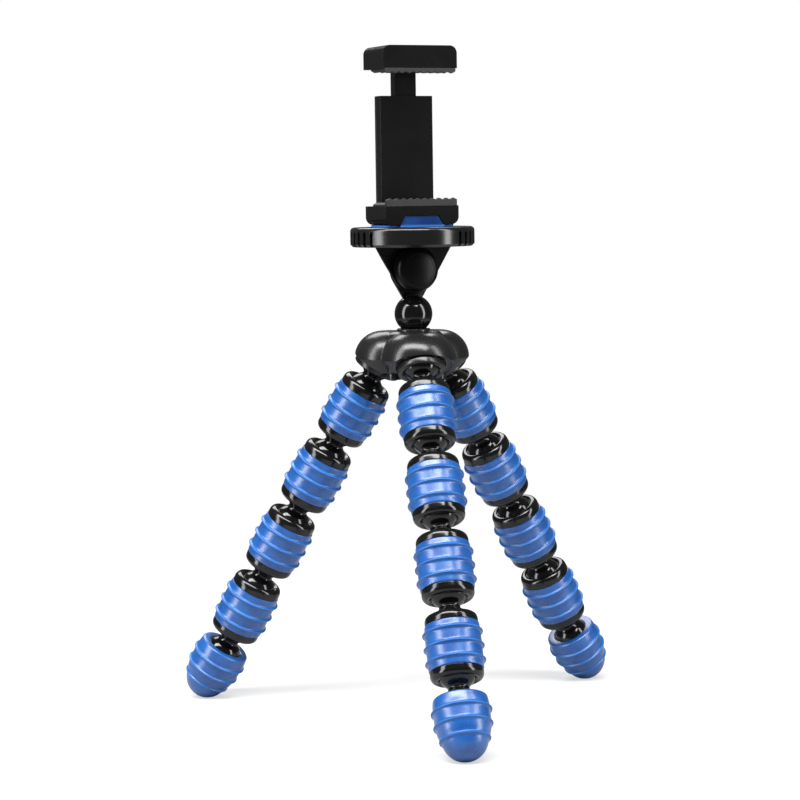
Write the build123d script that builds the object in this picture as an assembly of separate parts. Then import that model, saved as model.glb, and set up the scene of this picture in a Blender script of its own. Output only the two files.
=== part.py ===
from build123d import *
import os
from math import cos, radians, sin, sqrt, tan

# Flexible table stand: three legs of ball-linked beads, a hub, a swivelling platform and a spring clamp.
# Millimetres, +Z up. The clamp faces -Y. The origin is under the middle of the whole box, on the floor.

# Leg joints
BALL_R = 9.0
FIT_GAP = 0.05
NECK_R = 4.6
LINK_SPAN = 17.0
BALL_BACK = 2.0
SEAT_SPAN = 20.0
SEAT_DEEP = 5.3
LIP_ANGLE = 64.5
MOUTH = 4.8

# Beads
FLANGE_R = 11.7
FLANGE_T = 4.5
EDGE = 0.5
FLANGE_EDGE = 1.6
SLEEVE_R = 12.25
KEY_FLAT = 10.1
KEY_SIDES = 8
RIB_R = 13.35
RIB_PITCH = 6.5
RIB_FOOT = 1.9

# How the legs stand
LEG_TURNS = (-103.0, 17.0, 137.0)
SOCKET_LEAN = 30.0
BEAD_LEANS = (32.0, 31.0, 30.0, 29.0)
FOOT_LEAN = 33.0

# Feet
FOOT_TOP = 4.3
TIP_R = 10.2
TIP_AT = 13.8
TREAD = 0.4

# Hub, measured from the level of its socket centres
SOCKET_RING = 16.4
HUB_CUP_R = 10.15
HUB_CUP_BACK = 6.5
HUB_FLANGE_R = 11.1
HUB_FLANGE_AT = 1.65
HOOD_R = 12.4
HOOD_BACK = 1.6
HOOD_LIP_R = 11.5
LOBE_AT = 10.9
LOBE_SHOULDER = 4.7
LOBE_ROUND = 12.6
LOBE_MIDDLE = 1.3
CROWN_R = 15.0
CROWN_FLOOR = -5.0
BASE_T = 3.0
BASE_R = 11.0
SCREW_RING = 12.0
LUG_R = 3.2
SCREW_SINK = 1.5
COLLAR_R = 7.8
COLLAR_TOP = 15.0
ROOM_R = 4.7
ROOM_TOP = 9.0

# Head ball, its stem and the pan screw, measured up from the centre of the head ball
HEAD_BALL_R = 8.75
HEAD_BALL_UP = 21.8
PAN_SHANK_R = 1.6
PAN_HEAD_R = 3.6
PAN_HEAD_T = 2.4
PAN_END = 2.0
STEM_BACK = 2.2
STEM_FRONT = 1.7
STEM_HALF_FOOT = 4.8
STEM_FOOT = 7.4
NECK_TOP = 9.3

# Tilting bracket
PIVOT_UP = 20.6
FLARE = 31.0
LAP_GAP = 0.05
SHOULDER_UP = 4.0
BRACKET_HALF = 19.0
BOLT_R = 2.0
BOLT_HEAD_R = 3.5
BOLT_HEAD_T = 2.0
NUT_FLATS = 7.0
NUT_T = 3.0
CAP_R = 10.3
CAP_T = 7.2
CAP_ROUND = 3.4
CAP_DOME = 0.7

# Turning platform
WHEEL_R = 28.6
WHEEL_FOOT = 31.05
WHEEL_TOP = 40.0
WHEEL_ROUND = 1.8
RECESS_R = 24.8
RECESS_TOP = 35.0
DECK_R = 22.5
DECK_FOOT = 32.7
DECK_TOP = 34.9
RING_HOLE_R = 19.7
RING_FOOT = 31.2
RING_TOP = 32.6
GRIP_STEP = 9.0
GRIP_COUNT = 11
GRIP_W = 1.8
GRIP_DEEP = 1.6
GRIP_TOP = 38.1
SMOOTH_TURN = -109.0
SCREW_R = 3.175
STUD_FLATS = 11.0
STUD_FLANGE_T = 2.5
SCREW_END = 46.5

# Clamp, measured up from the centre of the head ball
JAW_W = 36.5
JAW_D = 23.5
JAW_ROUND = 3.5
PAD_T = 1.0
LOWER_TOP = 49.6
LOWER_SEAT = 51.3
LIP_UP = 1.9
UPPER_SEAT = 110.2
UPPER_FOOT = 111.9
UPPER_TOP = 122.2
LIP_T = 2.1
TOOTH_PITCH = 3.5
TOOTH_H = 0.9
TOOTH_COUNT = 10
BACK_W = 26.0
BACK_FRONT = 4.75
BACK_TOP = 100.0
COVER_T = 1.4
CHANNEL_W = 22.4
CHANNEL_WALL = 1.4
CHANNEL_FLOOR = 52.0
CHANNEL_TOP = 94.0
TONGUE_W = 11.0
TONGUE_T = 4.0
SLIDE_GAP = 0.1
CROSSBAR_FOOT = 52.05
CROSSBAR_T = 4.0
SPRING_X = 8.4
PEG_R = 1.2
PEG_H = 2.0
SLIDE_SPRING_R = 1.65
SLIDE_WIRE = 0.7
NOTCH_HALF = 10.7
NOTCH_HALF_TOP = 8.2
NOTCH_UP = 4.2

HALF_LINK = LINK_SPAN / 2
HALF_SEAT = SEAT_SPAN / 2
SEAT_R = BALL_R + FIT_GAP
HALF_BEAD = HALF_SEAT + MOUTH
SLEEVE_HALF = HALF_BEAD - FLANGE_T
LIP_R = SEAT_R * sin(radians(LIP_ANGLE))
LIP_AT = SEAT_R * cos(radians(LIP_ANGLE))
MOUTH_R = LIP_R + MOUTH - LIP_AT


def turned(edges):
    """A solid of revolution about local Z from an outline of (radius, height) edges."""
    return revolve(Plane.XZ * make_face(edges), Axis.Z)


def outline(*points):
    """A closed outline of straight edges through (radius, height) points."""
    return Polyline(*points, close=True)


def disc(radius, low, high):
    return Pos(0, 0, low) * extrude(Circle(radius), high - low)


def block(width, depth, low, high, x=0.0, y=0.0):
    """A box by its width along X, depth along Y, lowest and highest Z, and centre."""
    return Pos(x, y, low) * extrude(Rectangle(width, depth), high - low)


def prism(across_flats, sides, low, high):
    face = RegularPolygon(across_flats / 2, sides, major_radius=False)
    return Pos(0, 0, low) * extrude(face, high - low)


def direction(turn, lean):
    """A unit vector that leans out from straight down, towards a compass turn."""
    out = sin(radians(lean))
    return Vector(out * cos(radians(turn)), out * sin(radians(turn)), -cos(radians(lean)))


def tangent(turn):
    return Vector(-sin(radians(turn)), cos(radians(turn)), 0)


def along(point, axis, turn):
    """A frame at a point with its Z along an axis and its X level, across the leg."""
    return Plane(origin=point, x_dir=tangent(turn), z_dir=axis)


def leg_chain(turn, socket):
    """The places of one leg's pieces, from its hub socket down: links, beads and the foot."""
    leans = (SOCKET_LEAN,) + BEAD_LEANS + (FOOT_LEAN,)
    point = socket
    links, beads = [], []
    for upper, lower in zip(leans[:-1], leans[1:]):
        link_axis = direction(turn, (upper + lower) / 2)
        links.append((point, link_axis))
        point = point + link_axis * LINK_SPAN
        axis = direction(turn, lower)
        beads.append((point, axis))
        point = point + axis * SEAT_SPAN
    return links, beads[:-1], beads[-1]


def hub_height():
    """The height of the hub's socket centres when the treads of the feet are on the floor."""
    links, beads, foot = leg_chain(0.0, Vector(0, 0, 0))
    tip = foot[0] + foot[1] * TIP_AT
    return TIP_R - TREAD - tip.Z


HUB_Z = hub_height()
HEAD_Z = HUB_Z + HEAD_BALL_UP


def socket_centre(turn):
    return Vector(SOCKET_RING * cos(radians(turn)), SOCKET_RING * sin(radians(turn)), HUB_Z)


def make_link():
    """Two balls joined by a waisted neck, each ball cut flat behind its widest part."""
    side = BALL_R / sqrt(2)
    cone_at = HALF_LINK - side
    neck_at = cone_at - (side - NECK_R)
    back_r = sqrt(BALL_R**2 - BALL_BACK**2)
    top = HALF_LINK + BALL_BACK
    edges = [
        Line((0, -top), (back_r, -top)),
        ThreePointArc((back_r, -top), (BALL_R, -HALF_LINK), (side, -cone_at)),
        Polyline((side, -cone_at), (NECK_R, -neck_at), (NECK_R, neck_at), (side, cone_at)),
        ThreePointArc((side, cone_at), (BALL_R, HALF_LINK), (back_r, top)),
        Polyline((back_r, top), (0, top), (0, -top)),
    ]
    return turned(edges)


def seat_arc(at, end):
    """The round part of a ball seat's outline, from its lip to the ball's widest part."""
    half = radians((90 + LIP_ANGLE) / 2)
    return ThreePointArc(
        (LIP_R, at + end * LIP_AT),
        (SEAT_R * sin(half), at + end * SEAT_R * cos(half)),
        (SEAT_R, at),
    )


def make_core():
    """A bead's hard body: a flanged spool with a ball seat in each end and flats for its sleeve."""
    edges = []
    for end in (1, -1):
        edges.append(seat_arc(end * HALF_SEAT, end))
        edges.append(
            Polyline(
                (LIP_R, end * (HALF_SEAT + LIP_AT)),
                (MOUTH_R, end * HALF_BEAD),
                (FLANGE_R - FLANGE_EDGE, end * HALF_BEAD),
                (FLANGE_R, end * (HALF_BEAD - FLANGE_EDGE)),
            )
        )
    side = HALF_BEAD - FLANGE_EDGE
    edges.append(Line((FLANGE_R, side), (FLANGE_R, -side)))
    edges.append(Line((SEAT_R, HALF_SEAT), (SEAT_R, -HALF_SEAT)))
    waist = disc(FLANGE_R + 1, -SLEEVE_HALF, SLEEVE_HALF)
    waist -= prism(2 * KEY_FLAT, KEY_SIDES, -SLEEVE_HALF, SLEEVE_HALF)
    return turned(edges) - waist


def rib(at, base_r, top_r):
    """The points of one raised rib's outline, up the side of a rubber piece."""
    return [(base_r, at - RIB_FOOT / 2), (top_r, at), (base_r, at + RIB_FOOT / 2)]


def make_sleeve():
    """A bead's rubber sleeve, with three thin ribs round it."""
    points = [(0, -SLEEVE_HALF), (SLEEVE_R, -SLEEVE_HALF)]
    for at in (-RIB_PITCH, 0.0, RIB_PITCH):
        points += rib(at, SLEEVE_R, RIB_R)
    points += [(SLEEVE_R, SLEEVE_HALF), (0, SLEEVE_HALF)]
    return turned(outline(*points)) - prism(2 * KEY_FLAT, KEY_SIDES, -SLEEVE_HALF, SLEEVE_HALF)


def make_foot():
    """A rubber foot: a ribbed cone with a ball seat in its top and a domed tip."""
    start = TIP_AT + 2.4
    start_r = sqrt(TIP_R**2 - (start - TIP_AT) ** 2)
    mid = TIP_R / sqrt(2)
    outside = [(LIP_R + 0.2, -FOOT_TOP), (11.7, -FOOT_TOP)]
    outside += rib(2.0, 12.4, 13.35) + rib(8.4, 12.2, 13.0) + rib(14.8, 10.6, 11.3)
    outside += [(start_r, start)]
    edges = [
        Polyline((0, SEAT_DEEP), (SEAT_R, SEAT_DEEP), (SEAT_R, 0)),
        seat_arc(0, -1),
        Polyline((LIP_R, -LIP_AT), *outside),
        ThreePointArc((start_r, start), (mid, TIP_AT + mid), (0, TIP_AT + TIP_R)),
        Line((0, TIP_AT + TIP_R), (0, SEAT_DEEP)),
    ]
    return turned(edges)


def make_hood():
    """One round hood of the hub's cover, about its socket's axis."""
    bend = HOOD_R / sqrt(2)
    low = HUB_FLANGE_AT - 0.05
    edges = [
        ThreePointArc((0, -HOOD_BACK - HOOD_R), (bend, -HOOD_BACK - bend), (HOOD_R, -HOOD_BACK)),
        Polyline((HOOD_R, -HOOD_BACK), (HOOD_R - 0.2, low - 0.4), (HOOD_R - 0.6, low), (0, low)),
        Line((0, low), (0, -HOOD_BACK - HOOD_R)),
    ]
    return turned(edges)


def make_link_room():
    """The room that a link sweeps as it tilts in a hub socket."""
    return turned(outline((0, MOUTH), (MOUTH_R, MOUTH), (18.0, 20.0), (0, 20.0)))


def socket_frames():
    return [along(socket_centre(t), direction(t, SOCKET_LEAN), t) for t in LEG_TURNS]


def lug_places():
    """The three screw places of the hub, midway between the legs."""
    return [Rot(0, 0, t + 60) * Pos(SCREW_RING, 0, 0) for t in LEG_TURNS]


def make_lobe():
    """One broad lobe of the hub, round about its own upright axis, with a wide rounded shoulder."""
    bend = LOBE_ROUND / sqrt(2)
    side = LOBE_SHOULDER + LOBE_ROUND
    top = LOBE_MIDDLE + LOBE_ROUND
    return turned([
        Polyline((0, CROWN_FLOOR), (side - 3.6, CROWN_FLOOR), (side, LOBE_MIDDLE)),
        ThreePointArc((side, LOBE_MIDDLE), (LOBE_SHOULDER + bend, LOBE_MIDDLE + bend), (LOBE_SHOULDER, top)),
        Polyline((LOBE_SHOULDER, top), (0, top), (0, CROWN_FLOOR)),
    ])


def make_hub_cover():
    """The hub's upper shell: three broad lobes with hoods, and the collar that the head ball sits in."""
    edges = [
        Polyline((0, CROWN_FLOOR), (CROWN_R, CROWN_FLOOR), (CROWN_R, 8.6)),
        ThreePointArc((CROWN_R, 8.6), (13.6, 12.2), (COLLAR_R, 13.9)),
        Polyline(
            (COLLAR_R, 13.9), (COLLAR_R, COLLAR_TOP - 0.4), (COLLAR_R - 0.4, COLLAR_TOP),
            (0, COLLAR_TOP), (0, CROWN_FLOOR),
        ),
    ]
    cover = turned(edges)
    for turn in LEG_TURNS:
        cover += Rot(0, 0, turn) * Pos(LOBE_AT, 0, 0) * make_lobe()
    cover = Pos(0, 0, HUB_Z) * cover
    for frame in socket_frames():
        cover -= frame * disc(22.0, HUB_FLANGE_AT, 30.0)
        cover += frame * make_hood()
    hollow_r = HUB_CUP_R + FIT_GAP
    for frame in socket_frames():
        cover -= frame * disc(hollow_r, -HUB_CUP_BACK - FIT_GAP, 12.0)
        cover -= frame * disc(HOOD_LIP_R, -0.6, 12.0)
        cover -= frame * make_link_room()
    cover -= Pos(0, 0, HUB_Z) * disc(CROWN_R + 0.7, CROWN_FLOOR - 9, CROWN_FLOOR)
    room = disc(ROOM_R, CROWN_FLOOR, ROOM_TOP) + disc(PAN_SHANK_R + 0.1, 0, COLLAR_TOP)
    cover -= Pos(0, 0, HUB_Z) * room
    cover -= Pos(0, 0, HEAD_Z) * Sphere(HEAD_BALL_R + FIT_GAP)
    for place in lug_places():
        cover -= Pos(0, 0, HUB_Z) * place * disc(1.0, CROWN_FLOOR, CROWN_FLOOR + 8)
    return cover


def make_hub_core():
    """The hub's lower piece: three cups with collars, a floor and three screw lugs."""
    floor = CROWN_FLOOR - BASE_T
    core = disc(BASE_R, floor, CROWN_FLOOR)
    for place in lug_places():
        core += place * disc(LUG_R, floor, CROWN_FLOOR)
    core = Pos(0, 0, HUB_Z) * core
    for frame in socket_frames():
        cup = outline(
            (0, -HUB_CUP_BACK), (HUB_CUP_R, -HUB_CUP_BACK), (HUB_CUP_R, HUB_FLANGE_AT),
            (HUB_FLANGE_R, HUB_FLANGE_AT), (HUB_FLANGE_R, MOUTH - EDGE), (HUB_FLANGE_R - EDGE, MOUTH),
            (0, MOUTH),
        )
        core += frame * turned(cup)
    seat = [
        Polyline((0, MOUTH), (MOUTH_R, MOUTH), (LIP_R, LIP_AT)),
        seat_arc(0, 1),
        Polyline((SEAT_R, 0), (SEAT_R, -SEAT_DEEP), (0, -SEAT_DEEP), (0, MOUTH)),
    ]
    for frame in socket_frames():
        core -= frame * turned(seat)
        core -= frame * make_link_room()
    core -= Pos(0, 0, HUB_Z) * disc(ROOM_R + 0.5, floor - 4, ROOM_TOP)
    for place in lug_places():
        core -= Pos(0, 0, HUB_Z) * place * disc(1.1, floor, CROWN_FLOOR)
        core -= Pos(0, 0, HUB_Z) * place * disc(2.2, floor, floor + SCREW_SINK)
    return core


def small_screw(length, head_r=2.0, head_t=1.3, shank_r=1.0):
    """A pan-head screw along local Z, its head below the face that it bears on at zero."""
    head = turned(outline((0, -head_t), (head_r * 0.7, -head_t), (head_r, 0), (0, 0)))
    return head + disc(shank_r, 0, length)


def make_hub_screws():
    seat = HUB_Z + CROWN_FLOOR - BASE_T + SCREW_SINK
    return [Pos(0, 0, seat) * place * small_screw(BASE_T + 4.5) for place in lug_places()]


def make_pan_screw():
    """The screw that holds the head ball down in its collar and turns with it."""
    bearing = ROOM_TOP - HEAD_BALL_UP - 0.05
    screw = small_screw(PAN_END - bearing, PAN_HEAD_R, PAN_HEAD_T, PAN_SHANK_R)
    return Pos(0, 0, HEAD_Z + bearing) * screw


def flare_half(height):
    """Half the width of the bracket's straight-sided outline at a height."""
    return STEM_HALF_FOOT + (height - STEM_FOOT) * tan(radians(FLARE))


def plate(face, front, back):
    """A flat plate in the XZ plane between two depths."""
    return Pos(0, back, 0) * extrude(Plane.XZ * face, back - front)


def eye_face(radius):
    return Pos(0, PIVOT_UP) * Circle(radius)


def eye_radius():
    """The radius of the round ends, which touch the straight sides."""
    return flare_half(PIVOT_UP) * cos(radians(FLARE))


def flare_face(low, high, widest=BRACKET_HALF):
    """The part of the straight-sided outline between two heights."""
    knee = STEM_FOOT + (widest - STEM_HALF_FOOT) / tan(radians(FLARE))
    right = [(flare_half(low), low), (flare_half(min(knee, high)), min(knee, high))]
    if high > knee:
        right.append((widest, high))
    left = [(-x, z) for x, z in reversed(right)]
    return make_face(Polyline(*right, *left, close=True))


def make_head_ball():
    """The head ball with its stem: a short neck and a flat eye behind the bracket."""
    touch = PIVOT_UP - eye_radius() * sin(radians(FLARE))
    ball = Sphere(HEAD_BALL_R)
    ball += plate(flare_face(6.4, NECK_TOP), -STEM_FRONT, STEM_BACK)
    ball += plate(flare_face(7.0, touch), LAP_GAP, STEM_BACK)
    ball += plate(eye_face(eye_radius()), LAP_GAP, STEM_BACK)
    ball -= plate(eye_face(BOLT_R + 0.1), 0, STEM_BACK)
    ball -= disc(PAN_SHANK_R, -HEAD_BALL_R, PAN_END + 0.1)
    return Pos(0, 0, HEAD_Z) * ball


def make_bracket():
    """The tilting bracket: a plate with a round lower end that widens up to a round deck."""
    touch = PIVOT_UP - eye_radius() * sin(radians(FLARE))
    bracket = plate(flare_face(touch, DECK_FOOT + 0.1), -STEM_FRONT, -LAP_GAP)
    bracket += plate(eye_face(eye_radius()), -STEM_FRONT, -LAP_GAP)
    rear = plate(flare_face(PIVOT_UP + SHOULDER_UP, DECK_FOOT + 0.1), -LAP_GAP - 0.5, STEM_BACK)
    bracket += rear - plate(eye_face(eye_radius() + 0.2), -LAP_GAP, STEM_BACK)
    bracket += disc(DECK_R, DECK_FOOT, DECK_TOP)
    bracket -= plate(eye_face(BOLT_R), -STEM_FRONT, 0)
    return Pos(0, 0, HEAD_Z) * bracket


def pivot_turned(edges):
    """A solid of revolution about the tilt axis, its local Z pointing to the front."""
    return Pos(0, 0, HEAD_Z + PIVOT_UP) * Rot(90, 0, 0) * turned(edges)


def make_pivot_cap():
    """The smooth domed cap over the head of the pivot bolt."""
    back, front = STEM_FRONT, STEM_FRONT + CAP_T
    bend = CAP_ROUND / sqrt(2)
    corner = front - CAP_DOME - CAP_ROUND
    flat = CAP_R - CAP_ROUND
    dome_r = (flat**2 + CAP_DOME**2) / (2 * CAP_DOME)
    crown = dome_r - sqrt(dome_r**2 - flat**2 / 4)
    edges = [
        Polyline((0, back + BOLT_HEAD_T + 0.1), (BOLT_HEAD_R + 0.1, back + BOLT_HEAD_T + 0.1)),
        Polyline((BOLT_HEAD_R + 0.1, back + BOLT_HEAD_T + 0.1), (BOLT_HEAD_R + 0.1, back), (CAP_R, back)),
        Line((CAP_R, back), (CAP_R, corner)),
        ThreePointArc(
            (CAP_R, corner),
            (CAP_R - CAP_ROUND + bend, corner + bend),
            (CAP_R - CAP_ROUND, front - CAP_DOME),
        ),
        ThreePointArc((CAP_R - CAP_ROUND, front - CAP_DOME), (flat / 2, front - crown), (0, front)),
        Line((0, front), (0, back + BOLT_HEAD_T + 0.1)),
    ]
    return pivot_turned(edges)


def make_pivot_bolt():
    """The tilt axis: a bolt under the cap and its nut behind the eye."""
    end = -STEM_BACK - 0.1 - NUT_T - 0.8
    bolt = pivot_turned(
        outline(
            (0, end), (BOLT_R, end), (BOLT_R, STEM_FRONT), (BOLT_HEAD_R, STEM_FRONT),
            (BOLT_HEAD_R, STEM_FRONT + BOLT_HEAD_T), (0, STEM_FRONT + BOLT_HEAD_T),
        )
    )
    nut = prism(NUT_FLATS, 6, -STEM_BACK - 0.1 - NUT_T, -STEM_BACK - 0.1)
    nut -= disc(BOLT_R, -STEM_BACK - 0.1 - NUT_T, -STEM_BACK - 0.1)
    return [bolt, Pos(0, 0, HEAD_Z + PIVOT_UP) * Rot(90, 0, 0) * nut]


def make_wheel_ring():
    """The ring that holds the platform down on the bracket's deck and lets it turn."""
    ring = disc(RECESS_R, RING_FOOT, RING_TOP) - disc(RING_HOLE_R, RING_FOOT, RING_TOP)
    return Pos(0, 0, HEAD_Z) * ring


def make_camera_stud():
    """The quarter-inch stud fixed in the platform, with its six-sided flange below."""
    low = RECESS_TOP + 0.1
    stud = prism(STUD_FLATS, 6, low, RECESS_TOP + STUD_FLANGE_T)
    stud += disc(SCREW_R, low, SCREW_END - EDGE)
    tip = outline((0, SCREW_END - EDGE), (SCREW_R, SCREW_END - EDGE), (SCREW_R - EDGE, SCREW_END), (0, SCREW_END))
    stud += turned(tip)
    return Pos(0, 0, HEAD_Z) * stud


def make_wheel():
    """The turning platform: a thick disc with finger grips in two zones of its rounded rim."""
    inner = WHEEL_R - WHEEL_ROUND
    edges = [
        Polyline((SCREW_R, RECESS_TOP), (RECESS_R, RECESS_TOP), (RECESS_R, WHEEL_FOOT)),
        Polyline((RECESS_R, WHEEL_FOOT), (WHEEL_R - 1.2, WHEEL_FOOT), (WHEEL_R, WHEEL_FOOT + 1.2)),
        Line((WHEEL_R, WHEEL_FOOT + 1.2), (WHEEL_R, WHEEL_TOP - WHEEL_ROUND)),
        RadiusArc((WHEEL_R, WHEEL_TOP - WHEEL_ROUND), (inner, WHEEL_TOP), -WHEEL_ROUND),
        Polyline((inner, WHEEL_TOP), (SCREW_R, WHEEL_TOP), (SCREW_R, RECESS_TOP)),
    ]
    wheel = turned(edges)
    wheel -= prism(STUD_FLATS, 6, RECESS_TOP, RECESS_TOP + STUD_FLANGE_T)
    slot = block(2 * GRIP_DEEP, GRIP_W, WHEEL_FOOT - 1, GRIP_TOP - GRIP_W / 2, x=WHEEL_R)
    arch = Pos(WHEEL_R, 0, GRIP_TOP - GRIP_W / 2) * Rot(0, 90, 0)
    slot += arch * Cylinder(GRIP_W / 2, 2 * GRIP_DEEP)
    grips = []
    for side in (90.0, -90.0):
        for n in range(GRIP_COUNT):
            turn = SMOOTH_TURN + side + (n - (GRIP_COUNT - 1) / 2) * GRIP_STEP
            grips.append(Rot(0, 0, turn) * slot)
    return Pos(0, 0, HEAD_Z) * (wheel - grips)


def notch_face(trim=0.0):
    """The upright trapezium where the blue pad's key shows in the lower jaw."""
    foot, top = NOTCH_HALF - trim, NOTCH_HALF_TOP - trim
    low = WHEEL_TOP + PAD_T
    return make_face(
        Polyline((-foot, low), (foot, low), (top, low + NOTCH_UP), (-top, low + NOTCH_UP), close=True)
    )


def make_platform_pad():
    """The rubber pad under the clamp, with a front tab and a key that stands up into the jaw."""
    low, high = WHEEL_TOP, WHEEL_TOP + PAD_T
    sheet = extrude(RectangleRounded(34.0, 21.5, 3.0), PAD_T)
    pad = Pos(0, 0, low) * sheet
    pad += block(2 * NOTCH_HALF, 6.0, low, high, y=-9.6)
    key = Pos(0, -JAW_D / 2 + 4.0, 0) * extrude(Plane.XZ * notch_face(), 3.6)
    pad += key
    pad -= disc(SCREW_R + 0.2, low, high)
    return Pos(0, 0, HEAD_Z) * pad


def jaw_bar(low, high, round_low):
    """One jaw's bar, with its two outer corners rounded."""
    face = Rectangle(JAW_W, high - low)
    corners = face.vertices().sort_by(Axis.Y)
    corners = corners[:2] if round_low else corners[2:]
    face = Pos(0, (low + high) / 2) * fillet(corners, JAW_ROUND)
    return Pos(0, JAW_D / 2, 0) * extrude(Plane.XZ * face, JAW_D)


def make_clamp_base():
    """The lower jaw and the channel behind it that the upper jaw slides in."""
    low = WHEEL_TOP + PAD_T
    back_end = JAW_D / 2 - COVER_T
    base = jaw_bar(low, LOWER_TOP, True)
    mid = (BACK_FRONT + back_end) / 2
    base += block(BACK_W, back_end - BACK_FRONT, low + JAW_ROUND, BACK_TOP, y=mid)
    base -= block(BACK_W, COVER_T, low + JAW_ROUND, BACK_TOP, y=JAW_D / 2 - COVER_T / 2)
    channel_front = BACK_FRONT + CHANNEL_WALL
    base -= block(
        CHANNEL_W, back_end - channel_front, CHANNEL_FLOOR, CHANNEL_TOP,
        y=(channel_front + back_end) / 2,
    )
    base -= block(
        TONGUE_W + 2 * SLIDE_GAP, back_end - channel_front, CHANNEL_TOP, BACK_TOP,
        y=(channel_front + back_end) / 2,
    )
    base -= Pos(0, -JAW_D / 2 + 4.0, 0) * extrude(Plane.XZ * notch_face(), 4.0)
    base -= disc(SCREW_R + 0.05, low, low + 7.0)
    for x in (-SPRING_X, SPRING_X):
        base += Pos(x, spring_y(), 0) * disc(PEG_R, CHANNEL_TOP - PEG_H, CHANNEL_TOP + 0.5)
    return Pos(0, 0, HEAD_Z) * base


def spring_y():
    return BACK_FRONT + CHANNEL_WALL + SLIDE_GAP + TONGUE_T / 2


def make_clamp_cover():
    """The plate that closes the channel behind, with a raised border."""
    low = WHEEL_TOP + PAD_T + JAW_ROUND
    cover = block(BACK_W, COVER_T, low, BACK_TOP, y=JAW_D / 2 - COVER_T / 2)
    middle = (low + BACK_TOP) / 2
    cover -= block(BACK_W - 5, 0.8, low + 2.5, BACK_TOP - 2.5, y=JAW_D / 2)
    for n in range(5):
        at = middle + (n - 2) * 2.4
        cover += block(12.0, 0.5, at - 0.6, at + 0.6, y=JAW_D / 2 - 0.25)
    return Pos(0, 0, HEAD_Z) * cover


def make_clamp_slider():
    """The upper jaw with the tongue and crossbar that run in the channel."""
    mid = spring_y()
    slider = jaw_bar(UPPER_FOOT, UPPER_TOP, False)
    slider += block(TONGUE_W, TONGUE_T, CROSSBAR_FOOT, UPPER_FOOT + 1, y=mid)
    bar_w = CHANNEL_W - 2 * SLIDE_GAP
    slider += block(bar_w, TONGUE_T, CROSSBAR_FOOT, CROSSBAR_FOOT + CROSSBAR_T, y=mid)
    for x in (-SPRING_X, SPRING_X):
        top = CROSSBAR_FOOT + CROSSBAR_T
        slider += Pos(x, mid, 0) * disc(PEG_R, top - 0.5, top + PEG_H)
    return Pos(0, 0, HEAD_Z) * slider


def make_clamp_springs():
    """The two springs closed up in the channel, as plain tubes of their outer and inner size."""
    low = CROSSBAR_FOOT + CROSSBAR_T + 0.05
    high = CHANNEL_TOP - 0.05
    spring = disc(SLIDE_SPRING_R + SLIDE_WIRE / 2, low, high) - disc(SLIDE_SPRING_R - SLIDE_WIRE / 2, low, high)
    return [Pos(x, spring_y(), HEAD_Z) * spring for x in (-SPRING_X, SPRING_X)]


def grip_pad(flat, seat, lip_top):
    """A jaw's rubber pad: ridges that run front to back and a toothed lip at the front."""
    up = 1 if seat > flat else -1
    half = TOOTH_COUNT * TOOTH_PITCH / 2

    def toothed(top, depth, front):
        points = [(-half, flat)]
        for n in range(TOOTH_COUNT):
            left = -half + n * TOOTH_PITCH
            points += [(left, top - up * TOOTH_H), (left + TOOTH_PITCH / 2, top)]
        points += [(half, top - up * TOOTH_H), (half, flat)]
        face = make_face(Polyline(*points, close=True))
        return Pos(0, front + depth, 0) * extrude(Plane.XZ * face, depth)

    front = -JAW_D / 2
    rear = BACK_FRONT - 0.1
    return toothed(seat, rear - front - LIP_T, front + LIP_T) + toothed(lip_top, LIP_T, front)


def make_lower_pad():
    return Pos(0, 0, HEAD_Z) * grip_pad(LOWER_TOP, LOWER_SEAT, LOWER_SEAT + LIP_UP)


def make_upper_pad():
    return Pos(0, 0, HEAD_Z) * grip_pad(UPPER_FOOT, UPPER_SEAT, UPPER_SEAT - 0.7)


def make_legs():
    """Every leg piece in its place, by node name."""
    link, core, sleeve = make_link(), make_core(), make_sleeve()
    boot = make_foot()
    floor = Pos(0, 0, -10) * Box(400, 400, 20)
    nodes = {}
    for number, turn in enumerate(LEG_TURNS, 1):
        links, beads, foot = leg_chain(turn, socket_centre(turn))
        for n, (point, axis) in enumerate(links, 1):
            centre = point + axis * HALF_LINK
            nodes[f"leg_{number}_link_{n}"] = along(centre, axis, turn) * link
        for n, (point, axis) in enumerate(beads, 1):
            frame = along(point + axis * HALF_SEAT, axis, turn)
            nodes[f"leg_{number}_core_{n}"] = frame * core
            nodes[f"leg_{number}_sleeve_{n}"] = frame * sleeve
        frame = along(foot[0], foot[1], turn)
        nodes[f"leg_{number}_foot"] = frame * boot - floor
    return nodes


def make_head():
    """Every piece of the hub, the head and the clamp, by node name."""
    return {
        "hub_cover": make_hub_cover(),
        "hub_core": make_hub_core(),
        "hub_screws": make_hub_screws(),
        "head_ball": make_head_ball(),
        "pan_screw": make_pan_screw(),
        "tilt_bracket": make_bracket(),
        "pivot_cap": make_pivot_cap(),
        "pivot_bolt": make_pivot_bolt(),
        "platform_wheel": make_wheel(),
        "wheel_ring": make_wheel_ring(),
        "camera_stud": make_camera_stud(),
        "platform_pad": make_platform_pad(),
        "clamp_base": make_clamp_base(),
        "clamp_cover": make_clamp_cover(),
        "clamp_slider": make_clamp_slider(),
        "clamp_springs": make_clamp_springs(),
        "lower_jaw_pad": make_lower_pad(),
        "upper_jaw_pad": make_upper_pad(),
    }


def gather(shape):
    """One compound from a piece or a list of pieces."""
    return Compound(shape) if isinstance(shape, list) else shape


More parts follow.
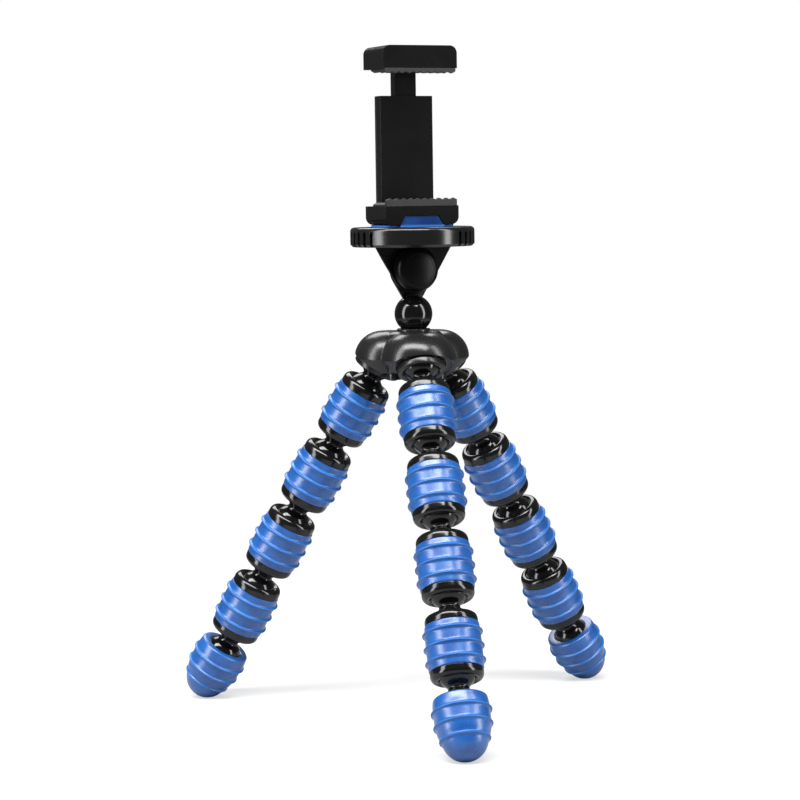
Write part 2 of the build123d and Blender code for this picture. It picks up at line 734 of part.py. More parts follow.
def main():
    """Writes one STEP for each node and gives back the middle of the box, which becomes the origin."""
    nodes = {**make_legs(), **make_head()}
    nodes = {name: gather(shape) for name, shape in nodes.items()}
    boxes = [shape.bounding_box() for shape in nodes.values()]
    middle_x = (min(b.min.X for b in boxes) + max(b.max.X for b in boxes)) / 2
    middle_y = (min(b.min.Y for b in boxes) + max(b.max.Y for b in boxes)) / 2
    os.makedirs("parts", exist_ok=True)
    for name, shape in nodes.items():
        export_step(Pos(-middle_x, -middle_y, 0) * shape, f"parts/{name}.step")
    print(len(nodes), "nodes, middle", round(middle_x, 3), round(middle_y, 3))
    return middle_x, middle_y


if __name__ == "__main__":
    main()
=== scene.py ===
# %% [markdown]
# A small flexible tripod stands on three legs made of beads, with a turning platform and a clamp on top.
# The measured model is loaded first. It fixes where every piece is and what moves with what, so this
# lesson only has to give the pieces their soft edges, their finishes, a floor and a light.

from math import cos, pi, radians, sin, tan

import bmesh
import bpy
from mathutils import Matrix, Vector


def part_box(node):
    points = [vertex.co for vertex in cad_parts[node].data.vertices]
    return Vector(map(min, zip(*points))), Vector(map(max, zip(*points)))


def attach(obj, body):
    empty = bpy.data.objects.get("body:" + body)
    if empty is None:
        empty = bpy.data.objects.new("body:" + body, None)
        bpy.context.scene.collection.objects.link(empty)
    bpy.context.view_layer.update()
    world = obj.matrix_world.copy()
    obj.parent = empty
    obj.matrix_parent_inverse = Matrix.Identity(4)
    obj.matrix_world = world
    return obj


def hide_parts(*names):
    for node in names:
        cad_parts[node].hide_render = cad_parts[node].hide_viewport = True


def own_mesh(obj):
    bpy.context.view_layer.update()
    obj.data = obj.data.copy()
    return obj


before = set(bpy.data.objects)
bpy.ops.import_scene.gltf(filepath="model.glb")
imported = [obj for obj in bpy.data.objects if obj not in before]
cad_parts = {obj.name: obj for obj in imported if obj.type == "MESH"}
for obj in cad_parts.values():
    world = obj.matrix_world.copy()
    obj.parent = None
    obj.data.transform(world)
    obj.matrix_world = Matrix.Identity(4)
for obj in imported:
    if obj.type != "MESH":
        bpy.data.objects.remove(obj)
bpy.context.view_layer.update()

# %% [markdown]
# The sizes below are the tripod's own, in millimetres. Blender works in metres, so each mesh is scaled
# by MM once, when it is made. The middle of the hub is not the origin: the origin is under the middle
# of the whole box, so HUB moves every piece that is built about the hub's upright axis. HEAD is the
# middle of the head ball. LEANS are the angles of a leg's pieces from straight down, from hub to foot.

# %% Sizes in millimetres
MM = 0.001
BALL_R, LINK_SPAN, BALL_BACK = 9.0, 17.0, 2.0
LIP_DEGREES = 64.5
SEAT_R, SEAT_SPAN, LIP_ANGLE, MOUTH = 9.05, 20.0, radians(LIP_DEGREES), 4.8
FLANGE_R, FLANGE_T = 11.7, 4.5
FLANGE_FACE_R, SHOULDER_WIDE, SHOULDER_TALL = 9.6, 2.1, 2.7
SLEEVE_R, RIB_R, RIB_PITCH, RIB_HALF = 12.25, 13.35, 6.5, 0.5
LEG_TURNS = (-103.0, 17.0, 137.0)
LEANS = (30.0, 32.0, 31.0, 30.0, 29.0, 33.0)
FOOT_TOP, TIP_R, TIP_AT = 4.3, 10.2, 13.8
HUB = Vector((-11.855, 15.443, 163.373))
SOCKET_RING = 16.4
HEAD = HUB + Vector((0.0, 0.0, 21.8))
PIVOT_UP, HEAD_BALL_R, EYE_R, EYE_FLARE = 20.6, 8.75, 10.9, 31.0
SPRING_WIRE_R, SPRING_TURNS, JAW_TRAVEL = 0.35, 15.0, 25.0
SHARP_TURN, SHADE_TURN, LATHE_TURN = radians(35.0), radians(32.0), radians(38.0)

# %% [markdown]
# The camera comes before any finish, because it decides which side of the tripod has to look best.
# A long lens far away keeps the legs from spreading too much towards the viewer. The camera stands a
# little to the left of the clamp's front, looks five degrees down and is turned by under one degree.

# %% Camera
LOOK, DOWN, ROLL = radians(67.0), radians(4.9), radians(0.82)
forward = Vector((cos(LOOK) * cos(DOWN), sin(LOOK) * cos(DOWN), -sin(DOWN)))
level = Vector((sin(LOOK), -cos(LOOK), 0.0))
upright = level.cross(forward)
right = level * cos(ROLL) - upright * sin(ROLL)
top = level * sin(ROLL) + upright * cos(ROLL)
place = Vector((-464.36, -1033.26, 243.2)) * MM
camera_data = bpy.data.cameras.new("camera")
camera_data.sensor_width = 36.0
camera_data.lens = 111.5
camera_data.clip_end = 50.0
camera = bpy.data.objects.new("camera", camera_data)
camera.matrix_world = Matrix((
    (right.x, top.x, -forward.x, place.x),
    (right.y, top.y, -forward.y, place.y),
    (right.z, top.z, -forward.z, place.z),
    (0.0, 0.0, 0.0, 1.0),
))
bpy.context.scene.collection.objects.link(camera)
bpy.context.scene.camera = camera
bpy.context.scene.view_settings.view_transform = "Standard"
print("camera at", tuple(place), "lens", camera_data.lens)

# %% [markdown]
# A finish is a small sum: a colour that is a little darker here, a gloss that is a little duller there.
# Node links hide such sums, so one class wraps a socket and lets Python's own signs add the Math nodes.
# A second class holds one material. Both add their nodes by one function, which the node trees that make
# shapes use too, further down.

# %% Shader sums in plain Python
def connect(tree, slot, value):
    """Links a Wire or another node's socket to a slot, or sets a plain value there."""
    source = value.socket if isinstance(value, Wire) else value
    if isinstance(source, bpy.types.NodeSocket):
        tree.links.new(source, slot)
    else:
        slot.default_value = source


def add_node(tree, kind, settings=(), sockets=()):
    """A new node, with its settings made and its sockets linked or given plain values."""
    node = tree.nodes.new(kind)
    for name, value in dict(settings).items():
        setattr(node, name, value)
    for name, value in dict(sockets).items():
        connect(tree, node.inputs[name], value)
    return node


class Wire:
    """One socket of a material that the signs + - and * can work on."""

    def __init__(self, tree, socket):
        self.tree = tree
        self.socket = socket

    def math(self, operation, *values):
        node = add_node(self.tree, "ShaderNodeMath", {"operation": operation}, enumerate(values))
        return Wire(self.tree, node.outputs[0])

    def __add__(self, other):
        return self.math("ADD", self, other)

    def __radd__(self, other):
        return self.math("ADD", other, self)

    def __sub__(self, other):
        return self.math("SUBTRACT", self, other)

    def __rsub__(self, other):
        return self.math("SUBTRACT", other, self)

    def __mul__(self, other):
        return self.math("MULTIPLY", self, other)

    def clamped(self):
        """The same value, kept between 0 and 1."""
        return self.math("MAXIMUM", self.math("MINIMUM", self, 1.0), 0.0)


class Finish:
    """One material, whose surface is one shader fed by sums."""

    def __init__(self, name):
        self.material = bpy.data.materials.new(name)
        self.material.use_nodes = True
        self.tree = self.material.node_tree
        self.shader = self.tree.nodes["Principled BSDF"]
        self.position = self.node("ShaderNodeTexCoord", output="Object")

    def node(self, kind, settings=(), sockets=(), output=0):
        """Adds a node and gives one of its outputs."""
        return Wire(self.tree, add_node(self.tree, kind, settings, sockets).outputs[output])

    def noise(self, scale, detail=3.0, rough=0.5):
        """Cloudy values about 0.5, at so many clouds a metre."""
        sockets = {"Vector": self.position, "Scale": scale, "Detail": detail, "Roughness": rough}
        return self.node("ShaderNodeTexNoise", {}, sockets, "Fac")

    def mix(self, factor, low, high):
        """A colour between two colours."""
        node = add_node(self.tree, "ShaderNodeMix", {"data_type": "RGBA"})
        slots = {slot.identifier: slot for slot in (*node.inputs, *node.outputs)}
        for identifier, value in (("Factor_Float", factor), ("A_Color", low), ("B_Color", high)):
            connect(self.tree, slots[identifier], value)
        return Wire(self.tree, slots["Result_Color"])

    def bump(self, height, depth, strength=1.0):
        """Gives the surface a fine relief, with its depth in metres."""
        sockets = {"Height": height, "Distance": depth, "Strength": strength}
        self.feed("Normal", self.node("ShaderNodeBump", {}, sockets, "Normal"))

    def feed(self, name, value):
        """Sets or links one socket of the surface shader."""
        connect(self.tree, self.shader.inputs[name], value)


# %% [markdown]
# The balls and the beads are moulded in black plastic from a polished tool, so they show crisp lights.
# Real moulded parts are never mirror flat: the skin has a faint waviness, and handling dulls patches
# of it. A low noise moves the roughness and a finer one makes the waviness.

# %% Gloss black plastic
def gloss_black(name, colour, shine, dulling):
    finish = Finish(name)
    patches = finish.noise(90.0, 4.0)
    specks = finish.noise(2600.0, 2.0)
    dull = ((patches - 0.45) * 2.2).clamped()
    finish.feed("Roughness", shine + dull * dulling + (specks - 0.5) * 0.05)
    lighter = tuple(min(1.0, c * 1.9 + 0.003) for c in colour)
    finish.feed("Base Color", finish.mix(dull * 0.6, (*colour, 1.0), (*lighter, 1.0)))
    finish.bump(finish.noise(260.0, 2.0), 0.00006, 0.35)
    finish.feed("IOR", 1.5)
    return finish.material


LINK_BLACK = gloss_black("ball gloss black", (0.0040, 0.0040, 0.0042), 0.10, 0.08)
BEAD_BLACK = gloss_black("bead gloss black", (0.0040, 0.0040, 0.0042), 0.13, 0.10)
print("gloss finishes", LINK_BLACK.name, BEAD_BLACK.name)

# %% [markdown]
# The other black plastics have a satin skin: the tool was blasted before moulding, which leaves a fine
# even grain. The clamp and the platform shine most, the hub a little less, and the bracket is almost
# matt. All are one recipe, a fine cellular bump under a soft gloss, and only the numbers differ.

# %% Grained black plastic
def grained_black(name, colour, roughness, grain, depth, gloss=0.5):
    finish = Finish(name)
    cells = finish.node(
        "ShaderNodeTexVoronoi", {"feature": "SMOOTH_F1"},
        {"Vector": finish.position, "Scale": grain, "Smoothness": 0.6}, "Distance",
    )
    clouds = finish.noise(70.0, 4.0)
    handled = ((clouds - 0.5) * 2.0).clamped()
    finish.feed("Roughness", roughness - handled * 0.10 + (cells - 0.4) * 0.08)
    lighter = tuple(min(1.0, c * 1.6 + 0.002) for c in colour)
    finish.feed("Base Color", finish.mix(clouds * 0.7, (*colour, 1.0), (*lighter, 1.0)))
    finish.bump(cells, depth, 0.5)
    finish.feed("Specular IOR Level", gloss)
    return finish.material


HUB_BLACK = grained_black("hub satin black", (0.0080, 0.0080, 0.0083), 0.25, 2400.0, 0.000012, 0.5)
WHEEL_BLACK = grained_black("platform satin black", (0.0050, 0.0050, 0.0052), 0.20, 2400.0, 0.000010, 0.55)
BRACKET_BLACK = grained_black("bracket matt black", (0.0020, 0.0020, 0.0021), 0.30, 2400.0, 0.00001, 0.13)
JAW_BLACK = grained_black("jaw satin black", (0.0030, 0.0030, 0.0032), 0.17, 2400.0, 0.000008, 0.55)
print("grained finishes", HUB_BLACK.name, BRACKET_BLACK.name)

# %% [markdown]
# The sleeves and the feet are blue rubber. Rubber scatters a little light at grazing angles. The tops of
# the ribs are duller and painted a paler blue, partly as wear and partly as painted highlight, and the
# bands between them keep their gloss, which the coat gives. The ribs' height comes from an attribute that
# the sleeve's mesh carries, named crest. The platform's pad has no ribs: its deep blue is painted shade
# from the jaw above it, and it is painted paler along the low lip that sticks out at its foot, as painted
# highlight.

# %% Blue rubber
GROOVE_COAT = 0.7
# Below PAD_LIP the pad is painted paler, as a painted highlight on its lip.
PAD_LIP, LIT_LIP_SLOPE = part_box("platform_pad")[0][2] + 0.0009, 4000.0


def blue_rubber(name, deep, lit_and_worn, roughness, ribbed):
    finish = Finish(name)
    clouds = finish.noise(120.0, 4.0)
    grain = finish.noise(3200.0, 2.0)
    if ribbed:
        crest = finish.node("ShaderNodeAttribute", {"attribute_name": "crest"}, {}, "Fac")
        # The rib crests are painted paler: partly wear, partly painted highlight.
        tone = (clouds - 0.5) * 0.9 + 0.35 + crest * 0.5
        roughness = roughness + crest * 0.22
        finish.feed("Coat Weight", (1.0 - crest) * GROOVE_COAT)
    else:
        height = finish.node("ShaderNodeSeparateXYZ", {}, {0: finish.position}, "Z")
        # Painted highlight: the pad's tone rises below its lip height.
        tone = (clouds - 0.5) * 0.4 + 0.08 + ((PAD_LIP - height) * LIT_LIP_SLOPE).clamped()
    finish.feed("Base Color", finish.mix(tone.clamped(), (*deep, 1.0), (*lit_and_worn, 1.0)))
    finish.feed("Roughness", roughness + (clouds - 0.5) * 0.14 + (grain - 0.5) * 0.08)
    finish.feed("Sheen Weight", 0.04)
    finish.feed("Sheen Roughness", 0.45)
    finish.feed("Specular IOR Level", 0.6 if ribbed else 0.15)
    finish.feed("Coat Roughness", 0.34)
    finish.bump(grain + clouds * 0.5, 0.00005, 0.45)
    return finish.material


LEG_BLUE = blue_rubber("leg blue rubber", (0.001, 0.050, 0.25), (0.008, 0.150, 0.50), 0.28, True)
# The pad's deep blue is painted shade from the jaw above it, and its paler blue is a painted highlight on the
# lip.
PAD_BLUE = blue_rubber("pad blue rubber", (0.001, 0.024, 0.13), (0.040, 0.180, 0.58), 0.45, False)
print("rubber finishes", LEG_BLUE.name, PAD_BLUE.name)

# %% [markdown]
# The jaws end in black rubber lips, duller than any plastic here. The screws and the stud are zinc
# plated steel: a metal with a slightly streaky roughness.

# %% Jaw rubber and steel
def jaw_rubber():
    finish = Finish("jaw black rubber")
    clouds = finish.noise(200.0, 4.0)
    grain = finish.noise(3600.0, 2.0)
    finish.feed("Base Color", finish.mix(clouds, (0.008, 0.008, 0.008, 1.0), (0.020, 0.020, 0.020, 1.0)))
    finish.feed("Roughness", 0.55 + (grain - 0.5) * 0.15)
    finish.bump(grain, 0.00005, 0.5)
    return finish.material


def plated_steel(name, colour, roughness):
    finish = Finish(name)
    streaks = finish.noise(900.0, 3.0)
    darker = tuple(c * 0.72 for c in colour)
    finish.feed("Base Color", finish.mix(streaks, (*darker, 1.0), (*colour, 1.0)))
    finish.feed("Metallic", 1.0)
    finish.feed("Roughness", roughness + (streaks - 0.5) * 0.25)
    finish.bump(streaks, 0.00002, 0.3)
    return finish.material


JAW_RUBBER = jaw_rubber()
STEEL = plated_steel("zinc plated steel", (0.62, 0.62, 0.60), 0.34)
WIRE = plated_steel("bright spring wire", (0.66, 0.66, 0.67), 0.24)

# %% [markdown]
# Some small pieces already have the right shape in the measured model, so they keep it and only get a
# finish. Each name below is a piece of that model.

# %% Finishes for the measured pieces
KEPT = {
    BRACKET_BLACK: ("pivot_cap", "wheel_ring"),
    STEEL: ("hub_screws", "pan_screw", "pivot_bolt", "camera_stud"),
}


def dress(node, material):
    """Gives one measured piece its finish."""
    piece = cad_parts[node]
    if not piece.data.materials:
        piece.data.materials.append(material)
    for n in range(len(piece.data.materials)):
        piece.data.materials[n] = material


for material, nodes in KEPT.items():
    for node in nodes:
        dress(node, material)
print("measured pieces kept", sum(len(nodes) for nodes in KEPT.values()))

# %% [markdown]
# All other pieces are new meshes, and two steps come back for each. Some are worked by a modifier, which
# has to be gone again before the piece is handed over. And each piece has to be told which body it moves
# with and which measured pieces it stands for.

# %% From a mesh to a piece
def with_modifier(mesh, kind, settings, sockets=()):
    """The plain mesh that one modifier makes of another mesh."""
    blank = bpy.data.objects.new("blank", mesh)
    bpy.context.scene.collection.objects.link(blank)
    modifier = blank.modifiers.new("work", kind)
    for name, value in settings.items():
        setattr(modifier, name, value)
    for identifier, value in dict(sockets).items():
        modifier[identifier] = value
    worked = bpy.data.meshes.new_from_object(blank.evaluated_get(bpy.context.evaluated_depsgraph_get()))
    blank.modifiers.remove(modifier)
    bpy.data.objects.remove(blank)
    return worked


def give_finish(mesh, material):
    """Puts one material on the whole mesh."""
    mesh.materials.clear()
    mesh.materials.append(material)


def hand_over(name, mesh, body, slot, *nodes):
    """A piece that moves with a body and stands for measured pieces."""
    piece = bpy.data.objects.new(name, mesh)
    bpy.context.scene.collection.objects.link(piece)
    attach(piece, body)
    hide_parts(*nodes)
    return piece


# %% [markdown]
# The hub, the platform, the bracket and the clamp have the right shape too, but a moulding's edges are
# never knife sharp: a radius of a few tenths of a millimetre draws the thin light line that shows each
# edge in a photograph. A copy of each measured mesh is welded, its flat faces are joined, and every edge that
# turns by more than 35 degrees is rounded inwards, so the piece stays inside its measured box. Weighted
# normals then let each large flat face shade as flat, with the change of tone only in the rounding. The
# hub is left out of that, because it is round nearly everywhere.

# %% Softened edges
SHOULDER_LOW, SHOULDER_HIGH, SHOULDER_OUT = 24.0, 32.0, 11.5
SOFTENED = {
    "hub_cover": (HUB_BLACK, "hub", "hub_plastic", 0.25),
    "hub_core": (HUB_BLACK, "hub", "hub_plastic", 0.2),
    "platform_wheel": (WHEEL_BLACK, "platform", "hub_plastic", 0.35),
    "tilt_bracket": (BRACKET_BLACK, "bracket", "bracket_plastic", 0.3),
    "clamp_base": (JAW_BLACK, "platform", "jaw_plastic", 0.4),
    "clamp_cover": (JAW_BLACK, "platform", "jaw_plastic", 0.25),
    "clamp_slider": (JAW_BLACK, "upper_jaw", "jaw_plastic", 0.4),
    "lower_jaw_pad": (JAW_RUBBER, "platform", "jaw_rubber", 0.12),
    "upper_jaw_pad": (JAW_RUBBER, "upper_jaw", "jaw_rubber", 0.12),
    "platform_pad": (PAD_BLUE, "platform", "pad_rubber", 0.3),
}


def slim_shoulders(shell):
    """Draws the bracket's rear corners in by a millimetre, so its sides look straight from the front."""
    for vertex in shell.verts:
        spot = vertex.co / MM - HEAD
        at_rear = spot.y > 0.5
        if at_rear and SHOULDER_LOW < spot.z < SHOULDER_HIGH and abs(spot.x) > SHOULDER_OUT:
            vertex.co.x -= MM if spot.x > 0 else -MM


def soften(node, material, body, slot, width):
    """A copy of a measured piece with its sharp edges rounded inwards by a width in millimetres."""
    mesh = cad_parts[node].data.copy()
    shell = bmesh.new()
    shell.from_mesh(mesh)
    bmesh.ops.remove_doubles(shell, verts=shell.verts, dist=2e-6)
    bmesh.ops.dissolve_limit(shell, angle_limit=radians(0.6), verts=shell.verts, edges=shell.edges)
    if node == "tilt_bracket":
        slim_shoulders(shell)
    sharp = [e for e in shell.edges if len(e.link_faces) == 2 and e.calc_face_angle(0.0) > SHARP_TURN]
    bmesh.ops.bevel(
        shell, geom=sharp, offset=width * MM, offset_type="OFFSET", segments=3, profile=0.5,
        affect="EDGES", clamp_overlap=True,
    )
    bmesh.ops.triangulate(shell, faces=[f for f in shell.faces if len(f.verts) > 4])
    for face in shell.faces:
        face.smooth = True
    shell.to_mesh(mesh)
    shell.free()
    mesh.set_sharp_from_angle(angle=SHADE_TURN)
    give_finish(mesh, material)
    if body != "hub":
        mesh = with_modifier(mesh, "WEIGHTED_NORMAL", {"weight": 100, "keep_sharp": True})
    piece = hand_over("soft_" + node, mesh, body, slot, node)
    print(piece.name, "rounded edges", len(sharp), "faces", len(mesh.polygons))


for node, (material, body, slot, width) in SOFTENED.items():
    soften(node, material, body, slot, width)

# %% [markdown]
# The links, beads, sleeves and feet are all round about their own axis, and they repeat down each leg.
# A lathe is the natural tool. This Geometry Nodes tree turns any outline: it takes a line of points
# with the radius in X and the height in Z, lays them out as a grid, and bends the grid into a ring.
# The Y of each point is not a place: it carries the rib height, which the tree stores as crest.

# %% The lathe
def lathe_tree():
    tree = bpy.data.node_groups.new("lathe", "GeometryNodeTree")
    tree.interface.new_socket("Outline", in_out="INPUT", socket_type="NodeSocketGeometry")
    sides = tree.interface.new_socket("Sides", in_out="INPUT", socket_type="NodeSocketInt")
    sides.default_value = 72
    finish = tree.interface.new_socket("Finish", in_out="INPUT", socket_type="NodeSocketMaterial")
    tree.interface.new_socket("Geometry", in_out="OUTPUT", socket_type="NodeSocketGeometry")

    def add(kind, settings=(), sockets=()):
        return add_node(tree, kind, settings, sockets)

    def maths(operation, first, second=0.0):
        return add("ShaderNodeMath", {"operation": operation}, {0: first, 1: second}).outputs[0]

    source = tree.nodes.new("NodeGroupInput")
    count = add("GeometryNodeAttributeDomainSize", {}, {"Geometry": source.outputs["Outline"]})
    columns = maths("ADD", source.outputs["Sides"], 1.0)
    grid = add(
        "GeometryNodeMeshGrid", {},
        {"Size X": 1.0, "Size Y": 1.0, "Vertices X": columns, "Vertices Y": count.outputs["Point Count"]},
    )
    spot = add("ShaderNodeSeparateXYZ", {}, {0: add("GeometryNodeInputPosition").outputs[0]})
    angle = maths("MULTIPLY", maths("ADD", spot.outputs["X"], 0.5), 2.0 * pi)
    last = maths("SUBTRACT", count.outputs["Point Count"], 1.0)
    row = maths("ROUND", maths("MULTIPLY", maths("ADD", spot.outputs["Y"], 0.5), last))
    sample = add("GeometryNodeSampleIndex", {"data_type": "FLOAT_VECTOR", "domain": "POINT"},
                 {"Geometry": source.outputs["Outline"], "Index": row})
    tree.links.new(add("GeometryNodeInputPosition").outputs[0], sample.inputs["Value"])
    point = add("ShaderNodeSeparateXYZ", {}, {0: sample.outputs[0]})
    ring = add("ShaderNodeCombineXYZ", {}, {
        "X": maths("MULTIPLY", point.outputs["X"], maths("COSINE", angle)),
        "Y": maths("MULTIPLY", point.outputs["X"], maths("SINE", angle)),
        "Z": point.outputs["Z"],
    })
    crest = add("GeometryNodeStoreNamedAttribute", {"data_type": "FLOAT", "domain": "POINT"},
                {"Geometry": grid.outputs["Mesh"], "Name": "crest", "Value": point.outputs["Y"]})
    bent = add("GeometryNodeSetPosition", {}, {"Geometry": crest.outputs[0], "Position": ring.outputs[0]})
    joined = add("GeometryNodeMergeByDistance", {}, {"Geometry": bent.outputs[0], "Distance": 1e-6})
    smooth = add("GeometryNodeSetShadeSmooth", {}, {"Geometry": joined.outputs[0]})
    real = add("GeometryNodeRealizeInstances", {}, {"Geometry": smooth.outputs[0]})
    coated = add("GeometryNodeSetMaterial", {}, {
        "Geometry": real.outputs[0], "Material": source.outputs["Finish"]})
    out = tree.nodes.new("NodeGroupOutput")
    tree.links.new(coated.outputs[0], out.inputs[0])
    return tree, sides.identifier, finish.identifier


LATHE, SIDES, FINISH = lathe_tree()


def turn_on_lathe(name, outline, material, sides=72):
    """One plain mesh, in metres, from outline points of (radius, height) or (radius, height, crest)."""
    mesh = bpy.data.meshes.new(name)
    points = [(p[0] * MM, p[2] if len(p) > 2 else 0.0, p[1] * MM) for p in outline]
    mesh.from_pydata(points, [(n, n + 1) for n in range(len(points) - 1)], [])
    solid = with_modifier(mesh, "NODES", {"node_group": LATHE}, {SIDES: sides, FINISH: material})
    shell = bmesh.new()
    shell.from_mesh(solid)
    if shell.calc_volume(signed=True) < 0:
        bmesh.ops.reverse_faces(shell, faces=shell.faces)
    shell.to_mesh(solid)
    shell.free()
    give_finish(solid, material)
    solid.set_sharp_from_angle(angle=LATHE_TURN)
    solid.name = name
    print(name, "faces", len(solid.polygons))
    return solid


# %% [markdown]
# An outline is a list of points, and a real moulding has no sharp corner. This helper takes the corners
# of an outline, each with the reach of its rounding, and puts a short curve in place of each corner.

# %% Outlines with rounded corners
def rounded(corners, steps=5):
    """Points of an outline whose corners (radius, height, reach) are softened by short curves."""
    points = []
    for n, (r, z, soft) in enumerate(corners):
        if soft <= 0 or n in (0, len(corners) - 1):
            points.append((r, z))
            continue
        here = Vector((r, z))
        back = Vector(corners[n - 1][:2]) - here
        ahead = Vector(corners[n + 1][:2]) - here
        reach = min(soft, back.length * 0.49, ahead.length * 0.49)
        start, end = here + back.normalized() * reach, here + ahead.normalized() * reach
        for k in range(steps + 1):
            t = k / steps
            spot = start * (1 - t) ** 2 + here * 2 * t * (1 - t) + end * t**2
            points.append((spot.x, spot.y))
    return points


def arc(radius, centre, first, last, steps):
    """Points on a ball's outline; the angles are in degrees from straight up its axis."""
    angles = [radians(first + (last - first) * n / steps) for n in range(steps + 1)]
    return [(radius * sin(a), centre + radius * cos(a)) for a in angles]


# %% [markdown]
# A link is two balls on a waisted neck. The neck flows into the balls through soft hollows, and the
# hidden inner end of each ball is cut flat, because it never touches the seat there.

# %% Links
def link_outline():
    half = LINK_SPAN / 2
    upper = arc(BALL_R, half, 77.6, 133.0, 16)
    neck = [(5.55, 1.45), (5.02, 0.9), (4.72, 0.35), (4.66, 0.0)]
    top = [(0.0, half + BALL_BACK), (8.6, half + BALL_BACK)] + upper + neck
    mirrored = [(r, -z) for r, z in reversed(top)]
    return top + mirrored[1:]


LINK_MESH = turn_on_lathe("link", link_outline(), LINK_BLACK)

# %% [markdown]
# A bead is a hard spool with a flange at each end. The flange's face slopes into the ball's seat, and
# its outer corner is rounded enough to catch a line of light. The middle hides under the sleeve.

# %% Bead spools
def spool_outline():
    half_seat = SEAT_SPAN / 2
    face = half_seat + MOUTH
    lip_r = SEAT_R * sin(LIP_ANGLE)
    lip_z = half_seat + SEAT_R * cos(LIP_ANGLE)
    waist = face - FLANGE_T
    quarter = [n * pi / 20 for n in range(11)]
    shoulder = [
        (FLANGE_FACE_R + SHOULDER_WIDE * sin(a), face - SHOULDER_TALL + SHOULDER_TALL * cos(a)) for a in quarter
    ]
    top = rounded([(lip_r, lip_z, 0.0), (lip_r + 0.85, face - 0.05, 0.4), (FLANGE_FACE_R, face, 0.0)])[:-1]
    top += shoulder
    top += rounded([(FLANGE_R, waist + 0.4, 0.0), (FLANGE_R, waist + 0.02, 0.3), (10.3, waist + 0.02, 0.0)])
    bottom = [(r, -z) for r, z in reversed(top)]
    seat = arc(SEAT_R, -half_seat, 180 - LIP_DEGREES, LIP_DEGREES, 14)
    seat_top = arc(SEAT_R, half_seat, 180 - LIP_DEGREES, LIP_DEGREES, 14)
    return top + bottom + seat + seat_top[:-1] + [top[0]]


SPOOL_MESH = turn_on_lathe("spool", spool_outline(), BEAD_BLACK)

# %% [markdown]
# The rubber sleeve has three ribs. A rib is a smooth ridge, so its outline is a formula: a bump that is
# flat on top and falls away steeply on both sides. The same formula gives the crest value that the blue
# finish reads, so the ribs and their paler colour, part wear and part painted highlight, always match.

# %% Sleeves
SKIN_STEPS = 110


def ridge(distance):
    """The height of a rib, from 0 to 1, at a distance from its middle: flat on top, with soft feet."""
    return 1.0 / (1.0 + (distance / RIB_HALF) ** 4)


def sleeve_outline():
    half = SEAT_SPAN / 2 + MOUTH - FLANGE_T
    skin = []
    for n in range(SKIN_STEPS + 1):
        z = -half + 0.45 + (2 * half - 0.9) * n / SKIN_STEPS
        crest = max(ridge(z - at) for at in (-RIB_PITCH, 0.0, RIB_PITCH))
        body = SLEEVE_R - 0.28 * (z / half) ** 4
        skin.append((body + (RIB_R - SLEEVE_R) * crest, z, crest))
    corner = skin[0][0]
    start = [(10.35, -half, 0.0), (corner - 0.55, -half, 0.0), (corner - 0.16, -half + 0.14, 0.0)]
    end = [(r, -z, c) for r, z, c in reversed(start)]
    return start + skin + end + [start[0]]


SLEEVE_MESH = turn_on_lathe("sleeve", sleeve_outline(), LEG_BLUE, 84)

# %% [markdown]
# A foot is the same rubber in a cone that ends in a dome. Its three ribs get lower towards the tip. The
# last ball sits straight in its top, so the outline starts at the seat's lip and ends there again.

# %% Feet
FOOT_RIBS = ((2.0, 0.95), (8.4, 0.8), (14.8, 0.7))
FOOT_STATIONS = ((-3.7, 11.9), (-1.0, 12.3), (2.0, 12.4), (8.4, 12.2), (11.5, 11.6), (14.8, 10.5), (16.6, 9.78))


def foot_body(z):
    """The foot's plain radius at a height below its ball, before the ribs are added."""
    for (z0, r0), (z1, r1) in zip(FOOT_STATIONS, FOOT_STATIONS[1:]):
        if z <= z1:
            t = (z - z0) / (z1 - z0)
            return r0 + (r1 - r0) * t
    return FOOT_STATIONS[-1][1]


def foot_outline():
    lip_r = SEAT_R * sin(LIP_ANGLE)
    points = [(lip_r, -3.9, 0.0), (lip_r + 0.35, -FOOT_TOP + 0.05, 0.0), (10.9, -FOOT_TOP, 0.0),
              (11.35, -FOOT_TOP + 0.12, 0.0), (11.65, -FOOT_TOP + 0.36, 0.0)]
    start, end = -3.6, 16.4
    for n in range(SKIN_STEPS + 1):
        z = start + (end - start) * n / SKIN_STEPS
        crests = [(ridge(z - at), high) for at, high in FOOT_RIBS]
        crest, high = max(crests)
        near = sum(foot_body(z + d) for d in (-0.8, -0.4, 0.0, 0.4, 0.8)) / 5
        points.append((near + high * crest, z, crest))
    first = 74.8
    for r, z in [(TIP_R * sin(radians(a)), TIP_AT + TIP_R * cos(radians(a))) for a in
                 [first - first * n / 16 for n in range(1, 17)]]:
        points.append((max(r, 0.0), z, 0.0))
    inside = [(0.0, 3.9, 0.0), (lip_r, 3.9, 0.0)]
    inside += [(SEAT_R * sin(radians(a)), SEAT_R * cos(radians(a)), 0.0) for a in (75, 90, 105)]
    return points + inside + [points[0]]


FOOT_MESH = turn_on_lathe("foot", foot_outline(), LEG_BLUE, 84)

# %% [markdown]
# The head ball is polished like the links, and a short neck joins it to a flat round eye behind the
# bracket. The ball is turned on the lathe. The neck and the eye are flat outlines in the plane of the
# bracket, given their thickness by an extrusion and then a small bevel. They are matt like the bracket.

